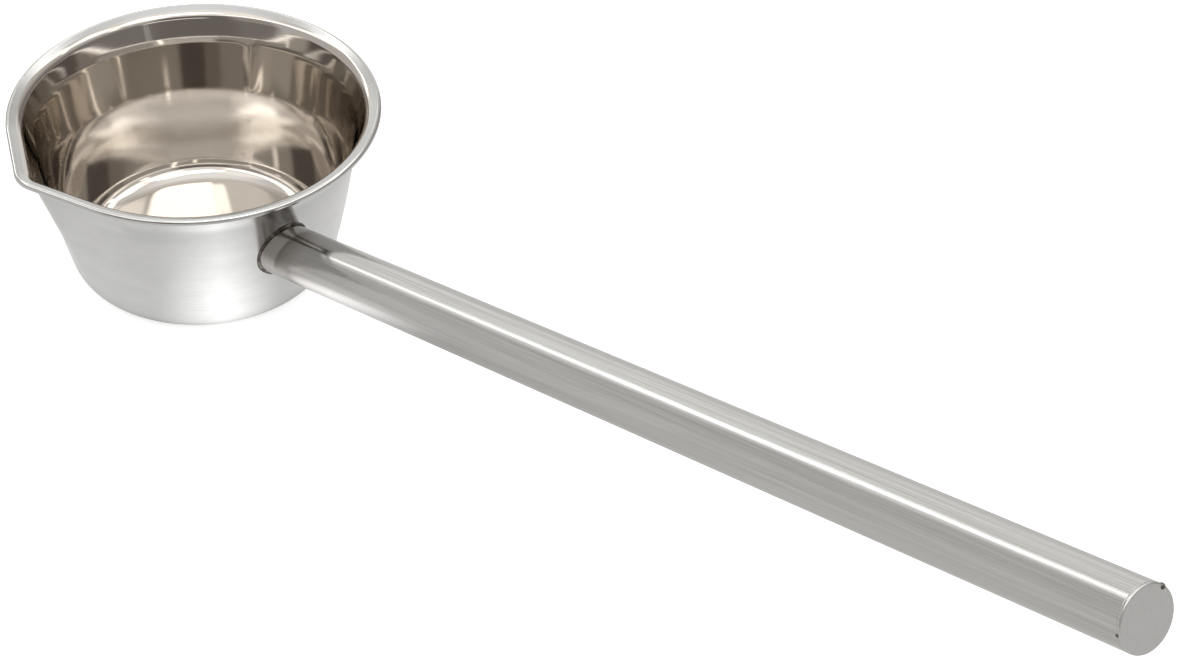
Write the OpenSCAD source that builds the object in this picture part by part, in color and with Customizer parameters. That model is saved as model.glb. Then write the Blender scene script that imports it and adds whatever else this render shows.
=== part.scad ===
// Long-handled melting and pouring pot: one pressed bowl with a rolled rim and a
// pouring lip, a straight tube handle welded to its wall, and a disc closing the tube.
// Millimetres. +Z is up. The origin is the centre of the bowl's flat base, on the
// resting plane. +X points along the handle, seen from above. The lip points to -Y.

/* [Part] */
// Piece to draw on its own, or all of them

/* [Bowl] */
// Outer radius of the rolled rim
rim_r = 65; // [60:0.5:70]
// Height of the middle of the rolled edge above the base
rim_z = 62; // [56:0.5:68]
// Radius of the rolled edge's round section
bead_r = 1.2; // [1.0:0.1:1.6]
// Sheet thickness of the bowl
sheet_t = 0.8; // [0.6:0.1:1.2]
// Upward slope of the flared lip, towards the outside
lip_angle = 20; // [10:1:25]
// Radius of the bend under the lip, on the outside of the sheet
lip_bend_r = 3.4; // [2:0.1:4]
// Height where the upper wall meets the lower wall
shoulder_z = 35; // [30:1:40]
// Outside radius of the bowl at that height
shoulder_r = 53.8; // [52:0.1:55]
// Outward lean of the upper wall, from vertical
upper_lean = 10.9; // [9:0.1:12]
// Height where the wall flares out further, towards the lip
flare_z = 53; // [50:0.5:54]
// Outward lean of the wall above that height
flare_lean = 21; // [15:0.5:24]
// Outward lean of the lower wall, from vertical
lower_lean = 12.4; // [12:0.1:15]
// Outside radius of the corner between wall and base
corner_r = 9; // [6:0.5:12]

/* [Pouring lip] */
// Angle from the pouring point's direction at which its sides leave the round rim
spout_angle = 24; // [20:0.5:28]
// Plan radius of the lip's point, at the rim's outside
spout_tip_r = 12; // [11:0.5:15]
// Height at which the pouring channel has faded into the wall
spout_fade_z = 12; // [11:1:20]

/* [Handle] */
// Outer radius of the handle tube
tube_r = 9.5; // [8:0.5:11]
// Wall thickness of the handle tube
tube_t = 1; // [0.8:0.1:1.5]
// Upward pitch of the handle, from horizontal
handle_pitch = 18.6; // [15:0.1:20]
// Height at which the handle's axis would cross the bowl's axis
handle_z = 16.7; // [14:0.1:20]
// Distance along the handle's axis from the bowl's axis to the cap's outer face
handle_len = 465; // [400:5:500]
// Thickness of the end cap
cap_t = 1; // [1:0.1:3]
// Radius of the end cap's rounded outer edge
cap_edge_r = 0.5; // [0.3:0.1:0.8]

/* [Welds] */
// Height of the weld ring at the handle's root, measured off the bowl's wall
weld_h = 0.9; // [0.6:0.1:2]
// Width of the weld ring, measured off the tube
weld_w = 1.1; // [0.8:0.1:2.5]
// Radius of the upper tack weld between tube and end cap
tack_high_r = 1.1; // [0.8:0.1:1.2]
// Distance of the upper tack's centre behind the end cap's outer face
tack_high_back = 0.5; // [0.3:0.1:1]
// Radius of the side tack weld
tack_side_r = 0.9; // [0.8:0.1:1.2]
// How far each tack's centre lies below the tube's surface
tack_sink = 0.6; // [0.4:0.1:0.8]
// Direction of the upper tack round the tube, from level on the +Y side towards the top
tack_high = 44; // [10:1:70]
// Direction of the side tack round the tube, measured the same way
tack_side = 182; // [170:1:220]

/* [Hidden] */
$fn = 180;
corner_steps = 10;
bend_steps = 6;
roll_steps = 18;
tip_steps = 6;
seam_step = 0.05;
lap = 0.3;
bead_c = rim_r - bead_r;
base_r = shoulder_r - (shoulder_z - corner_r) * tan(lower_lean)
         - corner_r / cos(lower_lean);
flare_r = shoulder_r + (flare_z - shoulder_z) * tan(upper_lean);
lip_det = cos(flare_lean + lip_angle);
lip_k1 = lip_bend_r + flare_r * cos(flare_lean) - flare_z * sin(flare_lean);
lip_k2 = bead_r - sheet_t - lip_bend_r - bead_c * sin(lip_angle) + rim_z * cos(lip_angle);
bend_x = (lip_k1 * cos(lip_angle) + lip_k2 * sin(flare_lean)) / lip_det;
bend_z = (lip_k2 * cos(flare_lean) + lip_k1 * sin(lip_angle)) / lip_det;
join_z = bend_z + lip_bend_r * sin(flare_lean) - 0.5;
lip_plan = rim_r - wall_r(join_z);
tip_c = rim_r / cos(spout_angle) - spout_tip_r / cos(spout_angle);
side_len = (rim_r - spout_tip_r) * tan(spout_angle);
channel_tilt = atan((tip_c + spout_tip_r - lip_plan - wall_r(spout_fade_z))
                    / (join_z - spout_fade_z));
channel_tip_r = (spout_tip_r - lip_plan) * cos(channel_tilt);
channel_angle = atan(tan(spout_angle) * cos(channel_tilt));
big = 200;

color("#c9c8c5") {
    bowl();
}
color("#b9b8b5") {
    handle_tube();
    end_cap();
}
color("#7f7468") {
    root_weld();
    cap_tacks();
}

// Outside radius of the bowl's wall at height z
function wall_r(z) = z > flare_z ? flare_r + (z - flare_z) * tan(flare_lean)
    : shoulder_r + (z - shoulder_z) * tan(z > shoulder_z ? upper_lean : lower_lean);

// Points along an arc round c, in n equal steps between two angles
function arc(c, r, from, to, n) =
    [for (i = [0:n]) let (a = from + (to - from) * i / n) c + r * [cos(a), sin(a)]];

// Point p of the wall where its lean changes, moved out by grow
function kink(p, below, above, grow) =
    let (mid = (above + below) / 2, half = (above - below) / 2)
    p + grow / cos(half) * [cos(mid), -sin(mid)];

// Point on the flared wall under the lip at height z, moved out by grow
function wall_point(grow, z) = [wall_r(z) + grow / cos(flare_lean), z];

// Half section of the lip's underside and rolled edge, up to its top
function lip_under(grow) = concat(
    arc([bend_x, bend_z], lip_bend_r - grow, 180 - flare_lean, 90 + lip_angle, bend_steps),
    arc([bead_c, rim_z], bead_r + grow,
        180 + lip_angle - asin((bead_r - sheet_t - grow) / (bead_r + grow)), 450,
        roll_steps));

// Half section of the lip's upper side, from the neck outwards
function lip_over(grow) =
    arc([bend_x, bend_z], lip_bend_r + sheet_t + grow, 180 - flare_lean, 90 + lip_angle,
        bend_steps);

// Sheet of the lip in half section, reaching drop below the join, moved out by grow
module lip_section(grow, drop) {
    over = lip_over(grow);
    polygon(concat(
        [wall_point(grow, join_z - drop)], lip_under(grow),
        [[bead_c - (bead_r + grow) * sin(lip_angle),
          rim_z + (bead_r + grow) * cos(lip_angle)]],
        [for (i = [bend_steps:-1:0]) over[i]],
        [wall_point(-sheet_t - grow, join_z - drop)]));
}

// Lip at the pouring point: two straight sides and the rounded tip between them
module pouring_lip() {
    for (side = [-1, 1])
        rotate([0, 0, -90 + side * spout_angle])
            translate([0, side < 0 ? side_len + lap : lap, 0])
                rotate([90, 0, 0]) linear_extrude(side_len + 2 * lap)
                    lip_section(seam_step, lap);
    translate([0, -tip_c, 0]) rotate([0, 0, -90 - spout_angle])
        rotate_extrude(angle = 2 * spout_angle)
            translate([spout_tip_r - rim_r, 0]) lip_section(0, lap / 2);
}

// Upright wedge over the pouring point, where its lip takes the round rim's place
module mouth() {
    side = big * [sin(spout_angle), -cos(spout_angle)];
    translate([0, 0, join_z]) linear_extrude(big)
        polygon([[0, 0], side, [-side[0], side[1]]]);
}

// Leaning wedge of the pouring channel below the lip, moved out by grow
module channel(grow, top) {
    tip = arc([0, 0], channel_tip_r + grow, -90 - channel_angle, -90 + channel_angle,
              tip_steps);
    far = tip[tip_steps] + side_len * [cos(channel_angle), sin(channel_angle)];
    intersection() {
        translate([0, -tip_c, join_z]) rotate([channel_tilt, 0, 0])
            translate([0, 0, -big / 2]) linear_extrude(big)
                polygon(concat(tip, [far, [0, side_len], [-far[0], far[1]]]));
        translate([-big / 2, -big, corner_r]) cube([big, big, top - corner_r]);
    }
}

// Half section of the body from the axis up to the flare, moved out by grow
function body_path(grow) = concat([[0, -grow]],
    arc([base_r, corner_r], corner_r + grow, -90, -lower_lean, corner_steps),
    [kink([shoulder_r, shoulder_z], lower_lean, upper_lean, grow),
     kink([flare_r, flare_z], upper_lean, flare_lean, grow)]);

// Solid body of the bowl up to the join height, moved out by grow
module body(grow) {
    rotate_extrude() polygon(concat(body_path(grow),
        [wall_point(grow, join_z), [0, join_z]]));
}

// Filled outside of the bowl, with its round rim
module round_outside() {
    rotate_extrude() polygon(concat(body_path(0), lip_under(0), [[0, rim_z + bead_r]]));
}

// Open space inside the bowl and above its rim
module round_inside() {
    rotate_extrude() polygon(concat(body_path(-sheet_t), lip_over(0),
        [lip_over(0)[bend_steps] + big / 10 * [cos(lip_angle), sin(lip_angle)],
         [0, big]]));
}

module bowl() {
    difference() {
        union() {
            difference() {
                round_outside();
                mouth();
            }
            channel(2 * seam_step, join_z + lap);
        }
        round_inside();
        channel(-sheet_t - 2 * seam_step, join_z + 3 * lap);
    }
    pouring_lip();
}

// Places its children on the handle's axis, with +Z towards the free end
module on_handle() {
    translate([0, 0, handle_z]) rotate([0, 90 - handle_pitch, 0]) children();
}

module handle_tube() {
    difference() {
        on_handle() difference() {
            cylinder(h = handle_len - cap_t, r = tube_r);
            translate([0, 0, -1]) cylinder(h = handle_len, r = tube_r - tube_t);
        }
        body(0);
    }
}

module end_cap() {
    on_handle() translate([0, 0, handle_len - cap_t]) rotate_extrude() {
        square([tube_r - cap_edge_r, cap_t]);
        square([tube_r, cap_t - cap_edge_r]);
        translate([tube_r - cap_edge_r, cap_t - cap_edge_r]) circle(r = cap_edge_r);
    }
}

module root_weld() {
    intersection() {
        on_handle() difference() {
            cylinder(h = handle_len / 2, r = tube_r + weld_w);
            translate([0, 0, -1]) cylinder(h = handle_len, r = tube_r);
        }
        difference() {
            body(weld_h);
            body(0);
        }
    }
}

module cap_tacks() {
    on_handle() difference() {
        for (tack = [[tack_high, tack_high_r, tack_high_back], [tack_side, tack_side_r, cap_t]])
            rotate([0, 0, tack[0] + 90])
                translate([tube_r - tack_sink, 0, handle_len - tack[2]]) sphere(r = tack[1]);
        cylinder(h = handle_len, r = tube_r);
    }
}
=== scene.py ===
"""Looks of the long-handled melting pot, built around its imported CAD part."""
import math

import bpy
import numpy as np
from mathutils import Matrix, Vector


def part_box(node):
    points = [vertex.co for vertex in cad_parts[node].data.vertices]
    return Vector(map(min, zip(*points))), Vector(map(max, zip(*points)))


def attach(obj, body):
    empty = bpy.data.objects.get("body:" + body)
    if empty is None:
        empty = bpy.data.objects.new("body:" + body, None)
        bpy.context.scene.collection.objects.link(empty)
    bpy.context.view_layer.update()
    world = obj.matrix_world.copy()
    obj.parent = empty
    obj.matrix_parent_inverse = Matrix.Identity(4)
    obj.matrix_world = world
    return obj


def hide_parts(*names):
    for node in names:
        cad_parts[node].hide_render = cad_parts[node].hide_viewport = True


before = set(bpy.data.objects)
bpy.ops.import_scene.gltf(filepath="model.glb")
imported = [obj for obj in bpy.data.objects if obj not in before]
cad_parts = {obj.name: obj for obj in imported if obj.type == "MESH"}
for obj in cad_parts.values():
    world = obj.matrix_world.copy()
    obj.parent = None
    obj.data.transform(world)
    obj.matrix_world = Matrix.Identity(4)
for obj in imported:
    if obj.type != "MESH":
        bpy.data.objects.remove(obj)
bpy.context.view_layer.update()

MM = 0.001

# ---------------------------------------------------------------- sizes
# Millimetres and radians. The rim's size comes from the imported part, and the rest are
# the CAD's own sizes, except that the wall is slightly bellied, within 0.25 mm of it.
_, BOWL_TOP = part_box("bowl")
BEAD_R = 1.2
RIM_R = float(BOWL_TOP[0]) / MM
RIM_Z = float(BOWL_TOP[2]) / MM - BEAD_R
SHEET = 0.8
LIP_ANGLE = math.radians(20)
LIP_BEND_R = 3.4
# A point on the flared wall, just below the lip's bend, that the wall's radii start from
NECK_R, NECK_Z = 59.48, 58.9
FLARE_Z = 53.0
FLARE_BLEND = 1.5
FLARE_LEAN = math.radians(21)
SHOULDER_Z = 35.0
SHOULDER_BLEND = 2.0
# Radius at the shoulder of the straight line that the tube's dark ring follows
WALL_LINE_R = 53.56
UPPER_LEAN = math.radians(11.5)
BELLY_TOP_LEAN = math.radians(9.2)
BELLY_FOOT_LEAN = math.radians(15.2)
CORNER_R = 8.6
WALL_FOOT = CORNER_R * (1 - math.sin(BELLY_FOOT_LEAN))
WALL_STEPS = 240
SPOUT_HALF = math.radians(24)
SPOUT_TIP_R = 12.0
SPOUT_FADE_Z = 12.0
# The channel is worked out this far beyond the spout's sides and below its faded end,
# and its crease with the wall is rounded over at most this width.
SPOUT_MARGIN = math.radians(8)
SPOUT_BELOW = 4.0
SPOUT_SOFT = 2.5
TUBE_R = 9.5
TUBE_WALL = 1.0
PITCH = math.radians(18.6)
HANDLE_Z = 16.7
HANDLE_LEN = 465.0
CAP_T = 1.0
CAP_EDGE_R = 0.5
# The weld bead is a little smaller than the CAD's ring.
WELD_OUT = 0.825
WELD_UP = 0.72
TACK_SINK = 0.6
# Each tack: its turn from +Y to the underside, its radius, its distance behind the end face
TACKS = ((math.radians(-44), 1.0, 0.5), (math.radians(-182), 0.85, 1.0))

BEAD_C = RIM_R - BEAD_R


def lean_at(z):
    """Outward lean of the wall at height z: bellied below the shoulder, straight
    above it, and flared further near the rim."""
    down = np.clip((SHOULDER_Z - z) / (SHOULDER_Z - WALL_FOOT), 0, 1)
    belly = BELLY_TOP_LEAN + (BELLY_FOOT_LEAN - BELLY_TOP_LEAN) * down
    blend = np.clip((z - SHOULDER_Z) / (2 * SHOULDER_BLEND) + 0.5, 0, 1)
    flare = np.clip((z - FLARE_Z) / (2 * FLARE_BLEND) + 0.5, 0, 1)
    upper = UPPER_LEAN + (FLARE_LEAN - UPPER_LEAN) * flare
    return belly + (upper - belly) * blend


def wall_table():
    """Heights and outside radii of the wall from the foot's corner up to the neck."""
    z = np.linspace(WALL_FOOT, NECK_Z, WALL_STEPS)
    step = np.diff(z) * np.tan(lean_at((z[1:] + z[:-1]) / 2))
    r = np.concatenate([[0], np.cumsum(step)])
    return z, r - r[-1] + NECK_R


WALL_Z, WALL_R = wall_table()
BASE_R = float(WALL_R[0]) - CORNER_R * math.cos(BELLY_FOOT_LEAN)


def wall_r(z):
    """Outside radius of the round wall at height z."""
    z = np.asarray(z, float)
    above = np.clip(z - NECK_Z, 0, None) * math.tan(FLARE_LEAN)
    return np.interp(z, WALL_Z, WALL_R) + above


# ---------------------------------------------------------------- mesh tools
def mesh_object(name, verts, faces, materials, face_slots=None):
    """A smooth-shaded object from points in millimetres."""
    mesh = bpy.data.meshes.new(name)
    mesh.from_pydata((np.asarray(verts, float) * MM).tolist(), [], faces)
    for m in materials:
        mesh.materials.append(m)
    mesh.polygons.foreach_set("use_smooth", [True] * len(mesh.polygons))
    if face_slots is not None:
        mesh.polygons.foreach_set("material_index", face_slots)
    mesh.validate()
    mesh.update()
    obj = bpy.data.objects.new(name, mesh)
    bpy.context.scene.collection.objects.link(obj)
    return obj


def ring_faces(rows, columns, close_rows=False):
    """Quads of a grid of rows round a ring of columns, facing out when rows run up."""
    faces = []
    for i in range(rows if close_rows else rows - 1):
        a, b = i * columns, ((i + 1) % rows) * columns
        for j in range(columns):
            k = (j + 1) % columns
            faces.append((a + j, a + k, b + k, b + j))
    return faces


def arc(c, r, start, end, n):
    """n + 1 points from one angle to another round c, in degrees."""
    t = np.radians(np.linspace(start, end, n + 1))
    return np.stack([c[0] + r * np.cos(t), c[1] + r * np.sin(t)], 1)


def line(a, b, n):
    """n points from a towards b, without b."""
    t = np.linspace(0, 1, n, endpoint=False)[:, None]
    return np.asarray(a, float) * (1 - t) + np.asarray(b, float) * t


# ---------------------------------------------------------------- bowl
def lip_bend():
    """Centre of the bend between the wall and the flared lip."""
    det = math.cos(FLARE_LEAN + LIP_ANGLE)
    k1 = LIP_BEND_R + NECK_R * math.cos(FLARE_LEAN) - NECK_Z * math.sin(FLARE_LEAN)
    k2 = (BEAD_R - SHEET - LIP_BEND_R - BEAD_C * math.sin(LIP_ANGLE)
          + RIM_Z * math.cos(LIP_ANGLE))
    return np.array([
        (k1 * math.cos(LIP_ANGLE) + k2 * math.sin(FLARE_LEAN)) / det,
        (k2 * math.cos(FLARE_LEAN) + k1 * math.sin(LIP_ANGLE)) / det])


BEND = lip_bend()
WALL_TOP = float(BEND[1] + LIP_BEND_R * math.sin(FLARE_LEAN))
LIP_PLAN = RIM_R - float(wall_r(WALL_TOP))
TIP_C = (RIM_R - SPOUT_TIP_R) / math.cos(SPOUT_HALF)


# Each stretch of the wall, upwards: the height it ends at and its number of rows
WALL_ROWS = ((SHOULDER_Z - 4, 13), (SHOULDER_Z + 4, 10), (FLARE_Z - 3, 6),
             (FLARE_Z + 2, 10), (WALL_TOP, 5))
# Finish zones of the bowl's section
OUTSIDE, EDGE, LIP, INSIDE = range(4)


def wall_heights():
    """Heights of the wall's rows above its foot, closer together where it bends."""
    z = [WALL_Z[0]]
    for end, rows in WALL_ROWS:
        z.extend(np.linspace(z[-1], end, rows + 1)[1:])
    return np.array(z[1:])


def wall_side(grow):
    """Section of base, corner and wall up to the lip's bend, moved out by grow."""
    corner = arc((BASE_R, CORNER_R), CORNER_R + grow,
                 -90, -math.degrees(BELLY_FOOT_LEAN), 16)
    z = wall_heights()
    lean = lean_at(z)
    wall = np.stack([wall_r(z) + grow * np.cos(lean), z - grow * np.sin(lean)], 1)
    near_middle = np.array([0.25, -grow])
    return np.concatenate([line(near_middle, corner[0], 14), corner, wall])


def bowl_section():
    """Closed section from the base's middle, out and up, over the rim and back down
    inside, with the finish zone of each point."""
    flare, lip = np.degrees([FLARE_LEAN, LIP_ANGLE])
    under = arc(BEND, LIP_BEND_R, 180 - flare, 90 + lip, 12)
    start = 180 + lip - math.degrees(math.asin((BEAD_R - SHEET) / BEAD_R))
    bead = arc((BEAD_C, RIM_Z), BEAD_R, start, 450 + lip, 26)
    over = arc(BEND, LIP_BEND_R + SHEET, 90 + lip, 180 - flare, 18)
    outer = wall_side(0.0)[:-1]
    inner = wall_side(-SHEET)[-2::-1]
    flange_under = line(under[-1], bead[0], 3)[1:]
    flange_over = line(bead[-1], over[0], 8)[1:]
    parts = [(outer, OUTSIDE), (under, OUTSIDE), (flange_under, OUTSIDE), (bead, EDGE),
             (flange_over, LIP), (over[:2], LIP), (over[2:], INSIDE), (inner, INSIDE)]
    points = np.concatenate([p for p, _ in parts])
    zones = np.concatenate([[z] * len(p) for p, z in parts])
    return points, zones


def spout_columns():
    """Angles round the bowl from -Y, closer together at the spout."""
    fine = 32
    near = np.radians(np.linspace(-fine, fine, 161))
    rest = np.radians(np.linspace(fine, 360 - fine, 297))[1:-1]
    return np.concatenate([near, rest])


def support(phi, side, centre, tip):
    """Radius at phi of the outline with a straight side at distance side, and a tip of
    radius tip round centre."""
    a = np.abs(phi)
    straight = side / np.cos(np.clip(SPOUT_HALF - a, 0, None))
    across = np.clip(tip ** 2 - (centre * np.sin(a)) ** 2, 0, None)
    round_tip = centre * np.cos(a) + np.sqrt(across)
    turn = np.arctan2(tip * math.sin(SPOUT_HALF), centre + tip * math.cos(SPOUT_HALF))
    return np.where(a < turn, round_tip, straight)


def plan_radius(phi, r, z, grow):
    """Radius at angle phi of the section point (r, z): the round bowl, the lip's
    outline above the wall, and the channel blended into the wall below it."""
    out = np.full_like(phi, r)
    near = np.abs(phi) < SPOUT_HALF + SPOUT_MARGIN
    a = phi[near]
    if z >= WALL_TOP - 1e-6:
        lip = support(a, r, TIP_C, SPOUT_TIP_R - (RIM_R - r))
        out[near] = np.where(np.abs(a) < SPOUT_HALF, lip, r)
    elif z > SPOUT_FADE_Z - SPOUT_BELOW:
        wall = float(wall_r(z)) + grow
        low = float(wall_r(SPOUT_FADE_Z))
        tip = SPOUT_TIP_R - LIP_PLAN
        reach = low + (TIP_C + tip - low) * (z - SPOUT_FADE_Z) / (WALL_TOP - SPOUT_FADE_Z)
        centre = reach - tip
        side = centre * math.cos(SPOUT_HALF) + tip
        channel = support(a, side + grow, centre, tip + grow)
        soft = min(max(wall - side - grow, 1e-4), SPOUT_SOFT)
        overlap = np.clip(soft - np.abs(wall - channel), 0, None) / soft
        rounding = overlap ** 2 * soft / 4
        out[near] = np.maximum(wall, channel) + rounding + (r - wall)
    return out


def make_bowl(materials):
    """The bowl's section swept round, bulging into the pouring lip at -Y."""
    section, zones = bowl_section()
    phi = spout_columns()
    wrapped = (phi + math.pi) % (2 * math.pi) - math.pi
    rows = []
    top = int(np.argmax(section[:, 1]))
    for i, (r, z) in enumerate(section):
        grow = 0.0 if i < top else -SHEET / math.cos(UPPER_LEAN)
        radius = plan_radius(wrapped, r, z, grow)
        rows.append(np.stack([radius * np.sin(phi), -radius * np.cos(phi),
                              np.full_like(phi, z)], 1))
    n = len(phi)
    verts = np.concatenate(rows)
    faces = ring_faces(len(rows), n)
    slots = [int(max(zones[i], zones[i + 1])) for i in range(len(rows) - 1)
             for _ in range(n)]
    low, high = len(verts), len(verts) + 1
    verts = np.concatenate([verts, [[0, 0, section[0, 1]], [0, 0, section[-1, 1]]]])
    last = (len(rows) - 1) * n
    for j in range(n):
        k = (j + 1) % n
        faces.append((low, k, j))
        faces.append((high, last + j, last + k))
        slots += [OUTSIDE, INSIDE]
    return mesh_object("bowl_shell", verts, faces, materials, slots)


# ---------------------------------------------------------------- handle
AXIS = np.array([math.cos(PITCH), 0.0, math.sin(PITCH)])
SIDE = np.array([0.0, 1.0, 0.0])
UNDER = np.cross(AXIS, -SIDE)
FOOT = np.array([0.0, 0.0, HANDLE_Z])
# Steps round the tube and the cap, and the chamfer on each side of their seam
HANDLE_STEPS = 144
SEAM = 0.03
# The tube's line leaves the bowl's wall somewhere between these places on the axis.
ROOT_FROM, ROOT_TO = 20.0, 90.0


def on_handle(s, r, turn):
    """Point at s along the handle's axis and r from it, turned from +Y to the underside."""
    s, r, turn = np.broadcast_arrays(s, r, turn)
    around = np.cos(turn)[..., None] * SIDE + np.sin(turn)[..., None] * UNDER
    return FOOT + s[..., None] * AXIS + r[..., None] * around


def root_reach(r, turn):
    """Distance along the axis at which a line at (r, turn) leaves the bowl's wall,
    found by halving the stretch that it must lie in."""
    lo, hi = np.full_like(turn, ROOT_FROM), np.full_like(turn, ROOT_TO)
    for _ in range(40):
        mid = (lo + hi) / 2
        p = on_handle(mid, r, turn)
        inside = np.hypot(p[..., 0], p[..., 1]) < wall_r(p[..., 2])
        lo, hi = np.where(inside, mid, lo), np.where(inside, hi, mid)
    return (lo + hi) / 2


def make_tube(materials):
    """Tube from its saddle at the bowl to the cap, with rows close together at the root
    and just inside both ends, which keep the shading straight there."""
    turn = np.linspace(0, 2 * math.pi, HANDLE_STEPS, endpoint=False)
    start_out = root_reach(TUBE_R, turn)
    bore = TUBE_R - TUBE_WALL
    start_in = root_reach(bore, turn)
    end = HANDLE_LEN - CAP_T
    root_part = 0.12
    steps = np.concatenate([[0, 0.001], np.linspace(0, root_part, 10)[1:],
                            np.linspace(root_part, 0.9985, 50)[1:], [0.9995, 1]])
    rows = [on_handle(start_out + (end - SEAM - start_out) * t, TUBE_R, turn)
            for t in steps]
    rows.append(on_handle(end, TUBE_R - SEAM, turn))
    rows.append(on_handle(end, bore, turn))
    rows += [on_handle(start_in + (end - start_in) * t, bore, turn)
             for t in np.linspace(1, 0, 12)[1:]]
    faces = [f[::-1] for f in ring_faces(len(rows), HANDLE_STEPS, close_rows=True)]
    return mesh_object("handle_shaft", np.concatenate(rows), faces, materials)


def lathe_on_handle(name, section, n, materials, side_rows):
    """Solid turned round the handle's axis from (s, r) points, first and last on it.
    The rows in side_rows take the second material."""
    turn = np.linspace(0, 2 * math.pi, n, endpoint=False)
    rows = [on_handle(s, r, turn) for s, r in section[1:-1]]
    ends = [on_handle(np.array([s]), 0, 0) for s in (section[0][0], section[-1][0])]
    verts = np.concatenate(rows + ends)
    faces = [f[::-1] for f in ring_faces(len(rows), n)]
    slots = [int(i in side_rows) for i in range(len(rows) - 1) for _ in range(n)]
    slots += [0] * (2 * n)
    first, last = len(verts) - 2, len(verts) - 1
    top = (len(rows) - 1) * n
    for j in range(n):
        k = (j + 1) % n
        faces.append((first, j, k))
        faces.append((last, top + k, top + j))
    return mesh_object(name, verts, faces, materials, slots)


def make_cap(materials):
    """Disc with a rounded outer edge. Its side carries the tube's finish, and one row on
    each side of the rounding keeps the side and the face shaded straight."""
    back_s, face_s = HANDLE_LEN - CAP_T, HANDLE_LEN
    edge_s, edge_r = face_s - CAP_EDGE_R, TUBE_R - CAP_EDGE_R
    back = [(back_s, r) for r in np.linspace(0, TUBE_R - SEAM, 6)]
    side = [(back_s + SEAM, TUBE_R), (edge_s - 0.02, TUBE_R)]
    edge = [(edge_s + y, edge_r + x) for x, y in arc((0, 0), CAP_EDGE_R, 0, 90, 8)]
    face = [(face_s, edge_r - 0.1)] + [(face_s, r) for r in np.linspace(edge_r, 0, 16)[1:]]
    side_rows = range(len(back) - 1, len(back) + 3)
    return lathe_on_handle("cap_disc", back + side + edge + face, HANDLE_STEPS, materials,
                           side_rows)


def make_root_weld(materials):
    """Bead swept round the joint, with the small ripples of a weld."""
    n, m = 216, 12
    turn = np.linspace(0, 2 * math.pi, n, endpoint=False)
    ripple = 1 + 0.05 * np.sin(58 * turn) + 0.05 * np.sin(7 * turn + 1)
    rows = []
    for u in np.linspace(0, 1, m):
        a = u * math.pi / 2
        r = TUBE_R + WELD_OUT * (1 - math.sin(a)) * ripple
        lift = WELD_UP * (1 - math.cos(a)) * ripple
        rows.append(on_handle(root_reach(r, turn) + lift, r, turn))
    foot = root_reach(TUBE_R + 0.001, turn)
    rows.append(on_handle(foot, TUBE_R, turn))
    faces = [f[::-1] for f in ring_faces(len(rows), n, close_rows=True)]
    return mesh_object("root_weld_bead", np.concatenate(rows), faces, materials)


def make_tacks(materials):
    """Small uneven blobs of weld, sunk into the tube and the cap over their seam."""
    n, m = 36, 18
    size, unevenness = 0.96, 0.02
    verts, faces = [], []
    for index, (at, radius, behind) in enumerate(TACKS):
        base = len(verts)
        middle = on_handle(HANDLE_LEN - behind, TUBE_R - TACK_SINK, at)
        for i in range(1, m):
            polar = i / m * math.pi
            for j in range(n):
                a = 2 * math.pi * j / n
                point = np.array([math.sin(polar) * math.cos(a),
                                  math.sin(polar) * math.sin(a), math.cos(polar)])
                lumps = math.sin(3 * a + 2 * index) * math.sin(polar) + math.cos(4 * polar)
                verts.append(middle + point * radius * (size + unevenness * lumps))
        pole = np.array([0, 0, size * radius])
        top = len(verts)
        last = base + (m - 2) * n
        verts += [middle + pole, middle - pole]
        for j in range(n):
            k = (j + 1) % n
            for i in range(m - 2):
                faces.append((base + i * n + j, base + (i + 1) * n + j,
                              base + (i + 1) * n + k, base + i * n + k))
            faces.append((top, base + j, base + k))
            faces.append((top + 1, last + k, last + j))
    return mesh_object("cap_tack_welds", verts, faces, materials)


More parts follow.
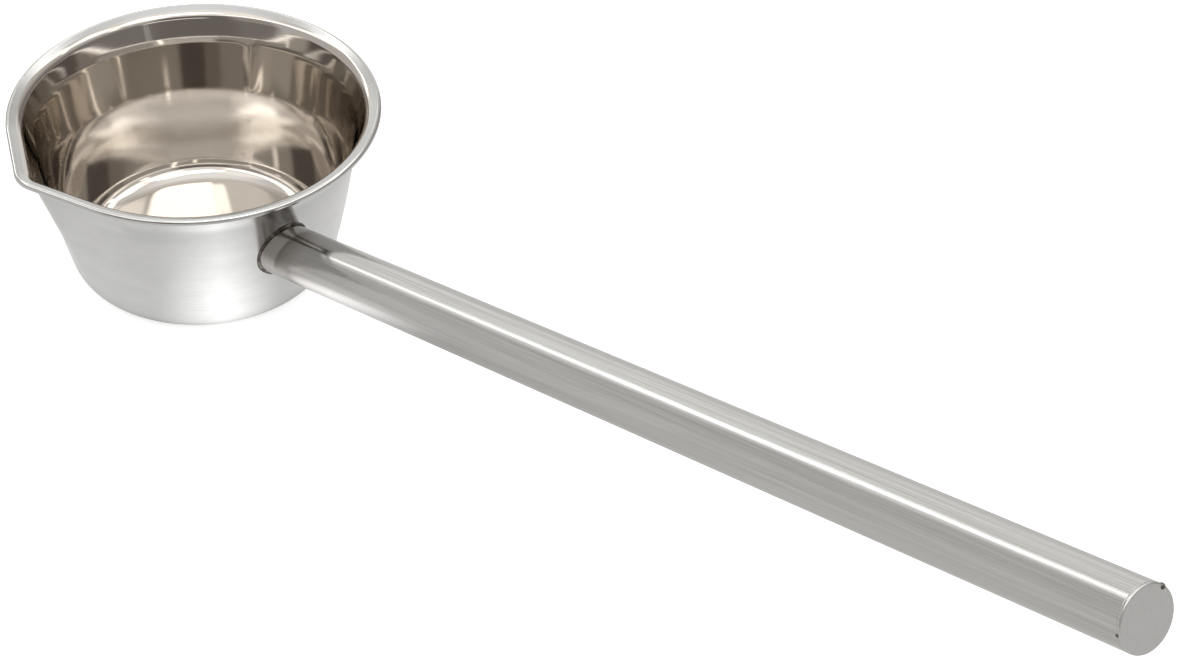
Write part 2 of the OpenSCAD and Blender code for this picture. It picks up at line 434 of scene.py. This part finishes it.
# ---------------------------------------------------------------- materials
class Nodes:
    """Adds nodes to a new material, or to a world, and links them."""

    def __init__(self, owner):
        """owner is a new material's name, or a world."""
        self.tree = getattr(owner, "node_tree", None)
        if self.tree:
            self.tree.nodes.clear()
            return
        self.material = bpy.data.materials.new(owner)
        self.material.use_nodes = True
        self.tree = self.material.node_tree
        self.tree.nodes.clear()
        self.shader = self.add("ShaderNodeBsdfPrincipled")
        self.link(self.shader.outputs[0], self.add("ShaderNodeOutputMaterial").inputs[0])
        self.place = self.add("ShaderNodeTexCoord").outputs["Object"]

    def add(self, kind, **settings):
        node = self.tree.nodes.new(kind)
        for key, value in settings.items():
            setattr(node, key, value)
        return node

    def link(self, a, b):
        self.tree.links.new(a, b)

    def feed(self, socket, x):
        """Set a socket to a number or a colour, or link an output to it."""
        if isinstance(x, (int, float)):
            socket.default_value = x
        elif isinstance(x, tuple):
            socket.default_value = (*x, 1)
        else:
            self.link(x, socket)

    def math(self, op, *values):
        node = self.add("ShaderNodeMath", operation=op)
        for socket, x in zip(node.inputs, values):
            self.feed(socket, x)
        return node.outputs[0]

    def scaled(self, x, factor, plus):
        return self.math("MULTIPLY_ADD", x, factor, plus)

    def hypot(self, x, y):
        squares = self.math("ADD", self.math("MULTIPLY", x, x), self.math("MULTIPLY", y, y))
        return self.math("SQRT", squares)

    def azimuth(self, x, y):
        """Degrees round the upright axis, from -Y towards +X."""
        turn = self.math("ARCTAN2", x, self.math("MULTIPLY", y, -1.0))
        return self.math("MULTIPLY", turn, DEGREES)

    def gap(self, a, b):
        return self.math("ABSOLUTE", self.math("SUBTRACT", a, b))

    def fall(self, distance, edge, soft):
        """1 within the edge and 0 beyond it, over a band 2 * soft wide."""
        node = self.add("ShaderNodeMapRange", interpolation_type="SMOOTHSTEP")
        for name, x in (("Value", distance), ("From Min", edge - soft),
                        ("From Max", edge + soft), ("To Min", 1.0), ("To Max", 0.0)):
            self.feed(node.inputs[name], x)
        return node.outputs[0]

    def split(self, vector):
        node = self.add("ShaderNodeSeparateXYZ")
        self.link(vector, node.inputs[0])
        return node.outputs

    def join(self, x, y, z=0.0):
        node = self.add("ShaderNodeCombineXYZ")
        for socket, value in zip(node.inputs, (x, y, z)):
            self.feed(socket, value)
        return node.outputs[0]

    def noise(self, vector, scale=1.0, detail=3, rough=0.6, stretch=(1, 1, 1)):
        mapping = self.add("ShaderNodeMapping")
        mapping.inputs["Scale"].default_value = stretch
        self.link(vector, mapping.inputs["Vector"])
        node = self.add("ShaderNodeTexNoise")
        for name, x in (("Vector", mapping.outputs[0]), ("Scale", scale),
                        ("Detail", detail), ("Roughness", rough)):
            self.feed(node.inputs[name], x)
        return node.outputs[0]

    def ramp(self, value, *stops):
        """Colours or grey levels between stops of (place, tone)."""
        node = self.add("ShaderNodeValToRGB")
        ramp = node.color_ramp
        while len(ramp.elements) < len(stops):
            ramp.elements.new(0.5)
        for element, (at, tone) in zip(ramp.elements, stops):
            element.position = at
            colour = tone if isinstance(tone, tuple) else (tone,) * 3
            element.color = (*colour, 1)
        self.link(value, node.inputs[0])
        return node.outputs[0]

    def mix(self, factor, a, b):
        """Colour a where factor is 0, and colour b where it is 1."""
        node = self.add("ShaderNodeMix", data_type="RGBA")
        for index, x in ((0, factor), (6, a), (7, b)):
            self.feed(node.inputs[index], x)
        return node.outputs[2]

    def blend(self, factor, a, b):
        """Number a where factor is 0, and number b where it is 1."""
        node = self.add("ShaderNodeMix", data_type="FLOAT")
        for index, x in ((0, factor), (2, a), (3, b)):
            self.feed(node.inputs[index], x)
        return node.outputs[0]

    def bump(self, height, distance, strength):
        node = self.add("ShaderNodeBump")
        node.inputs["Strength"].default_value = strength
        node.inputs["Distance"].default_value = distance
        self.link(height, node.inputs["Height"])
        self.link(node.outputs[0], self.shader.inputs["Normal"])

    def finish(self, colour, roughness, metallic=1.0):
        for name, x in (("Base Color", colour), ("Roughness", roughness),
                        ("Metallic", metallic)):
            self.feed(self.shader.inputs[name], x)
        return self.material


DEGREES = 180 / math.pi
STEEL = (0.578, 0.582, 0.578)
# Radius at which distances round the bowl are measured, in metres
GRAIN_R = 0.058


def round_bowl(n):
    """Place in the bowl as distance round it, radius and height, for finishes that run
    round it. Stretches below are in that order."""
    x, y, z = n.split(n.place)
    around = n.math("MULTIPLY", n.math("ARCTAN2", x, y), GRAIN_R)
    return n.join(around, n.hypot(x, y), z)


def spun(n, amount):
    """Grain that runs round the bowl: reflections smear up and down across it."""
    n.shader.inputs["Anisotropic"].default_value = amount
    n.shader.inputs["Anisotropic Rotation"].default_value = 0.25
    tangent = n.add("ShaderNodeTangent", direction_type="RADIAL", axis="Z")
    n.link(tangent.outputs[0], n.shader.inputs["Tangent"])


def outside_steel():
    """Satin lines round the wall, with bands and smudges."""
    n = Nodes("steel_outside_satin")
    place = round_bowl(n)
    lines = n.noise(place, stretch=(35, 2500, 5200))
    bands = n.noise(place, detail=2, rough=0.5, stretch=(6, 150, 260))
    smudge = n.noise(place, detail=4, stretch=(45, 60, 130))
    satin = n.mix(n.ramp(lines, (0.35, 0.0), (0.65, 1.0)), STEEL, (0.63, 0.633, 0.63))
    colour = n.mix(n.ramp(smudge, (0.35, 0.0), (0.75, 1.0)), satin, (0.665, 0.668, 0.66))
    rough = n.scaled(smudge, 0.08, n.scaled(lines, 0.06, 0.13))
    n.bump(n.scaled(bands, 2.0, lines), distance=0.00003, strength=0.42)
    spun(n, 0.6)
    return n.finish(colour, rough)


def lip_steel():
    """Satin on the flat of the lip."""
    n = Nodes("steel_lip_satin")
    lines = n.noise(round_bowl(n), stretch=(60, 5200, 2500))
    mottle = n.noise(n.place, scale=210, rough=0.55)
    colour = n.mix(mottle, (0.56, 0.565, 0.565), (0.63, 0.635, 0.635))
    n.bump(lines, distance=0.00003, strength=0.25)
    return n.finish(colour, n.scaled(lines, 0.12, 0.15))


def edge_steel():
    """The rolled edge, a little brighter than the lip."""
    n = Nodes("steel_rolled_edge")
    lines = n.noise(round_bowl(n), stretch=(60, 3000, 3000))
    marks = n.noise(n.place, scale=500)
    colour = n.mix(marks, (0.60, 0.603, 0.60), (0.68, 0.683, 0.68))
    n.bump(lines, distance=0.00002, strength=0.2)
    return n.finish(colour, n.scaled(lines, 0.08, 0.09))


def inside_steel():
    """Near-mirror with faint turning lines and a gentle waviness."""
    n = Nodes("steel_inside_mirror")
    place = round_bowl(n)
    lines = n.noise(place, stretch=(30, 2600, 2600))
    haze = n.noise(place, stretch=(60, 90, 120))
    wave = n.noise(place, detail=1, rough=0.5, stretch=(28, 10, 35))
    colour = n.mix(haze, (0.61, 0.575, 0.535), (0.65, 0.62, 0.58))
    rough = n.scaled(lines, 0.02, n.scaled(haze, 0.035, 0.03))
    n.bump(n.scaled(wave, 12.0, lines), distance=0.00002, strength=0.12)
    return n.finish(colour, rough)


def along_handle(n):
    """Distance along the handle's axis, and distance from it towards the underside."""
    x, _, z = n.split(n.place)
    dz = n.math("SUBTRACT", z, HANDLE_Z * MM)
    along, under = (n.math("ADD", n.math("MULTIPLY", x, float(way[0])),
                           n.math("MULTIPLY", dz, float(way[2])))
                    for way in (AXIS, UNDER))
    return along, under


def tube_steel():
    """Brushed along its length, smoother and tinted by the weld's heat at the root."""
    n = Nodes("steel_tube_brushed")
    x, y, z = n.split(n.place)
    along, under = along_handle(n)
    turn = n.math("MULTIPLY", n.math("ARCTAN2", under, y), TUBE_R * MM)
    flat = n.join(along, turn)
    lines = n.noise(flat, detail=4, rough=0.65, stretch=(16, 2600, 1))
    coarse = n.noise(flat, stretch=(7, 520, 1))
    smudge = n.noise(flat, stretch=(14, 90, 1))
    # 0 at the root and 1 where fully brushed, between 60 and 132 mm along the axis
    brushed = n.ramp(n.math("MULTIPLY", along, 5.0), (0.30, 0.0), (0.66, 1.0))

    # Streaks, fading to bare steel at the root
    streak = n.scaled(lines, 0.6, n.math("MULTIPLY", coarse, 0.4))
    steel = n.mix(n.ramp(streak, (0.36, 0.0), (0.64, 1.0)), (0.50, 0.50, 0.492),
                  (0.68, 0.68, 0.672))
    bare = n.mix(brushed, (0.46, 0.44, 0.42), steel)

    # Heat tint fading out by 100 mm along the axis, fuller on the underside
    heat = n.ramp(n.math("MULTIPLY", along, 10.0), (0.57, 1.0), (0.70, 0.75), (0.90, 0.3),
                  (1.0, 0.0))
    side = n.scaled(under, 0.5 / (TUBE_R * MM), 0.5)
    heat = n.math("MULTIPLY", heat, n.ramp(side, (0.45, 0.25), (0.85, 1.0)))
    tinted = n.mix(n.math("MULTIPLY", heat, 0.95), bare, (0.11, 0.075, 0.055))

    # Faint dark ring, 9 to 10 mm out from the wall
    slope = math.tan(UPPER_LEAN)
    wall = n.scaled(z, slope, (WALL_LINE_R - SHOULDER_Z * slope) * MM)
    off = n.math("MULTIPLY", n.math("SUBTRACT", n.hypot(x, y), wall), 50.0)
    clear = n.ramp(off, (0.40, 1.0), (0.45, 0.0), (0.50, 0.0), (0.60, 0.35), (0.95, 1.0))
    tinted = n.mix(clear, (0.24, 0.22, 0.20), tinted)

    satin = n.scaled(smudge, 0.07, n.scaled(lines, 0.09, 0.09))
    rough = n.blend(brushed, n.scaled(smudge, 0.04, 0.045), satin)
    n.bump(n.math("MULTIPLY", n.scaled(coarse, 0.5, lines), brushed),
           distance=0.00004, strength=0.40)
    return n.finish(tinted, rough)


def cap_steel():
    """Ground face of the cap."""
    n = Nodes("steel_cap_ground")
    _, under = along_handle(n)
    face = n.join(n.split(n.place)[1], under)
    grain = n.noise(face, rough=0.65, stretch=(2600, 180, 1))
    spots = n.noise(face, scale=420)
    colour = n.mix(spots, (0.60, 0.602, 0.598), (0.67, 0.672, 0.668))
    n.bump(grain, distance=0.00004, strength=0.35)
    return n.finish(colour, n.scaled(grain, 0.14, 0.30))


def weld_and_painted_shade_steel():
    """Dark, blotched and uneven weld metal. Its darkness is partly painted shade for the
    gap at the tube's root joint.
    """
    n = Nodes("steel_weld_heated_and_painted_shade")
    blotch = n.noise(n.place, scale=330, detail=4, rough=0.65)
    fine = n.noise(n.place, scale=1500)
    # Dark tones: the weld metal's own colour, and partly painted shade of the gap at the
    # root joint
    colour = n.ramp(blotch, (0.30, (0.03, 0.025, 0.022)), (0.50, (0.09, 0.078, 0.068)),
                    (0.70, (0.33, 0.30, 0.27)))
    n.bump(n.math("ADD", fine, blotch), distance=0.00012, strength=0.6)
    return n.finish(colour, n.scaled(fine, 0.25, 0.30), metallic=0.85)


# ---------------------------------------------------------------- pieces
bowl = make_bowl([outside_steel(), edge_steel(), lip_steel(), inside_steel()])
tube_finish = tube_steel()
tube = make_tube([tube_finish])
cap = make_cap([cap_steel(), tube_finish])
weld_and_painted_shade_finish = weld_and_painted_shade_steel()
root_weld = make_root_weld([weld_and_painted_shade_finish])
tacks = make_tacks([weld_and_painted_shade_finish])
PIECES = (
    (bowl, "bowl", "bowl_steel"),
    (tube, "handle_tube", "tube_steel"),
    (cap, "end_cap", "cap_steel"),
    (root_weld, "root_weld", "weld_metal"),
    (tacks, "cap_tacks", "weld_metal"),
)
for piece, node, slot in PIECES:
    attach(piece, "root")
    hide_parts(node)

# ---------------------------------------------------------------- floor
# Painted light on the paper, which glows: evenly white to the eye, and in the steel's
# mirror a painted ring of light round the foot with a brighter painted pool beside it, by
# azimuth in degrees and radius in metres.
PAPER_GLOW = 0.74
NEAR_GLOW = 0.40
POOL_GLOW = 1.10
POOL_AZ, POOL_HALF, POOL_SOFT = 67.0, 14.0, 22.0
RING_OUTER, RING_OUTER_SOFT = 0.083, 0.03
RING_INNER, RING_INNER_SOFT = 0.044, 0.008
FLOOR_HALF = 6.0


def make_floor():
    """Square of pale paper under the pot, glowing with painted light."""
    h = FLOOR_HALF
    mesh = bpy.data.meshes.new("floor")
    mesh.from_pydata([(-h, -h, 0), (h, -h, 0), (h, h, 0), (-h, h, 0)], [], [(0, 1, 2, 3)])
    n = Nodes("floor_paper_painted_glow")
    grain = n.noise(n.place, scale=60, rough=0.5)
    colour = n.mix(grain, (0.55, 0.55, 0.55), (0.57, 0.57, 0.57))
    x, y, _ = n.split(n.place)
    # Painted light: a glowing pool beside the foot and a ring round it, seen only in
    # reflections
    pool = n.fall(n.gap(n.azimuth(x, y), POOL_AZ), POOL_HALF, POOL_SOFT)
    away = n.hypot(x, y)
    ring = n.math("SUBTRACT", n.fall(away, RING_OUTER, RING_OUTER_SOFT),
                  n.fall(away, RING_INNER, RING_INNER_SOFT))
    mirrored = n.math("MULTIPLY", n.scaled(pool, POOL_GLOW, NEAR_GLOW), ring)
    seen = n.add("ShaderNodeLightPath").outputs["Is Camera Ray"]
    n.feed(n.shader.inputs["Emission Color"], (1.0, 1.0, 1.0))
    n.feed(n.shader.inputs["Emission Strength"], n.blend(seen, mirrored, PAPER_GLOW))
    mesh.materials.append(n.finish(colour, 0.9, metallic=0.0))
    obj = bpy.data.objects.new("floor", mesh)
    bpy.context.scene.collection.objects.link(obj)


make_floor()

# ---------------------------------------------------------------- camera
RIM_CENTRE = Vector((0, 0, RIM_Z * MM))
# Azimuth and elevation of the camera's place from the rim's centre, and of the way its
# back faces, in degrees; its distance in metres; its roll; and its lens for this sensor.
CAMERA_PLACE = (60.0, 35.692)
CAMERA_BACK = (51.1333, 39.8318)
CAMERA_AWAY = 1.111152
CAMERA_ROLL = math.radians(1.2921)
CAMERA_LENS, CAMERA_SENSOR = 96.58, 36.0


def direction(azimuth, elevation):
    """Unit vector from the object towards a viewer at these angles, in degrees."""
    a, e = math.radians(azimuth), math.radians(elevation)
    return Vector((math.sin(a) * math.cos(e), -math.cos(a) * math.cos(e), math.sin(e)))


def make_camera():
    data = bpy.data.cameras.new("camera")
    data.sensor_width = CAMERA_SENSOR
    data.lens = CAMERA_LENS
    data.clip_start, data.clip_end = 0.02, 50
    obj = bpy.data.objects.new("camera", data)
    bpy.context.scene.collection.objects.link(obj)
    back = direction(*CAMERA_BACK)
    right = Vector((0, 0, 1)).cross(back).normalized()
    up = back.cross(right)
    roll = Matrix.Rotation(CAMERA_ROLL, 3, back)
    turn = Matrix((roll @ right, roll @ up, roll @ back)).transposed()
    place = RIM_CENTRE + CAMERA_AWAY * direction(*CAMERA_PLACE)
    obj.matrix_world = Matrix.Translation(place) @ turn.to_4x4()
    bpy.context.scene.camera = obj


make_camera()

# ---------------------------------------------------------------- light
# Panels of the studio as seen from the pot, in degrees: azimuth and its half width,
# elevation and its half height, softness of both edges, and brightness. Later ones
# cover earlier ones.
PANELS = (
    ("left_wall", 232, 25, 12, 16, 5, 3, (0.93, 0.92, 0.90)),
    ("behind_camera", 54, 27, 18, 24, 7, 2, (0.20, 0.18, 0.17)),
    ("front", 8, 22, 26, 17, 8, 3, (0.40, 0.37, 0.35)),
    ("over_front", 5, 32, 66, 9, 8, 4, (1.35, 1.33, 1.31)),
    ("near_left_low", 324, 37, 14, 24, 5, 5, (0.62, 0.60, 0.58)),
    ("ceiling_edge", 0, 180, 49, 5.5, 1, 1.8, (1.95, 1.91, 1.85)),
    ("above_camera", 55, 22, 49, 7, 6, 3, (1.15, 1.10, 1.06)),
    ("right_screen", 101, 24, 52, 8, 4, 2, (1.70, 1.67, 1.64)),
    ("far_right", 150, 22, 55, 8, 5, 3, (1.90, 1.86, 1.82)),
    ("strip_glow", 270, 16, 21, 11, 5, 4, (1.00, 0.99, 0.96)),
    ("strip_low", 275.5, 2.4, 25, 8.5, 1.5, 4, (3.9, 3.8, 3.7)),
    ("strip_high", 279, 2.4, 41, 8, 1.5, 4, (3.8, 3.7, 3.6)),
    ("spot_left", 245, 2.5, 33, 2.5, 2, 2, (3.0, 2.9, 2.7)),
    ("spot_far", 156, 2.0, 40, 2.0, 2, 2, (5.0, 4.9, 4.6)),
    ("spot_right", 112, 4.0, 38, 3.5, 3, 2, (2.1, 2.05, 2.0)),
    ("low_window", 68, 20, 17, 3, 4, 2, (1.2, 1.18, 1.15)),
    ("softbox", 82, 40, 65.5, 8, 4, 2.5, (3.2, 3.2, 3.15)),
    ("softbox_end", 36, 8, 64, 4.5, 3, 2, (2.9, 2.9, 2.85)),
)
# Brightness of the rest by elevation, in degrees
HEIGHT_TONES = (
    (0, (0.24, 0.22, 0.21)),
    (14, (0.26, 0.24, 0.23)),
    (24, (0.45, 0.43, 0.41)),
    (31, (0.62, 0.60, 0.57)),
    (48, (0.74, 0.72, 0.69)),
    (62, (0.84, 0.82, 0.80)),
    (73, (1.12, 1.11, 1.09)),
    (85, (1.25, 1.25, 1.24)),
)
FILL_POWER = 9.0
FILL_SIZE = 4.0
FILL_PLACE = (0.2, 0, 2.5)


def make_world():
    """Studio surroundings, plain white to the eye. In the steel's mirror they are
    brightness by height, with soft-edged panels over it."""
    world = bpy.data.worlds.new("studio")
    bpy.context.scene.world = world
    world.use_nodes = True
    n = Nodes(world)
    x, y, z = n.split(n.add("ShaderNodeTexCoord").outputs["Generated"])
    height = n.math("MULTIPLY", n.math("ARCSINE", z), DEGREES)
    around = n.azimuth(x, y)
    colour = n.ramp(n.math("DIVIDE", height, 90.0),
                    *((at / 90, tone) for at, tone in HEIGHT_TONES))
    for _, azimuth, wide, elevation, tall, soft_a, soft_e, tone in PANELS:
        off = n.math("WRAP", n.math("SUBTRACT", around, azimuth), 180.0, -180.0)
        mask = n.math("MULTIPLY", n.fall(n.math("ABSOLUTE", off), wide, soft_a),
                      n.fall(n.gap(height, elevation), tall, soft_e))
        colour = n.mix(mask, colour, tone)
    mirrored = n.add("ShaderNodeBackground")
    n.link(colour, mirrored.inputs["Color"])
    plain = n.add("ShaderNodeBackground")
    n.feed(plain.inputs["Color"], (1.0, 1.0, 1.0))
    seen = n.add("ShaderNodeLightPath").outputs["Is Camera Ray"]
    both = n.add("ShaderNodeMixShader")
    for socket, x in zip(both.inputs, (seen, mirrored.outputs[0], plain.outputs[0])):
        n.link(x, socket)
    n.link(both.outputs[0], n.add("ShaderNodeOutputWorld").inputs[0])


def make_fill():
    """Wide panel overhead that lifts the floor to white."""
    data = bpy.data.lights.new("fill", "AREA")
    data.shape = "RECTANGLE"
    data.size = data.size_y = FILL_SIZE
    data.energy = FILL_POWER
    obj = bpy.data.objects.new("fill", data)
    bpy.context.scene.collection.objects.link(obj)
    obj.location = FILL_PLACE
    obj.visible_camera = False
    obj.visible_glossy = False


make_world()
make_fill()
bpy.context.scene.view_settings.view_transform = "Standard"
bpy.context.scene.cycles.glossy_bounces = 10
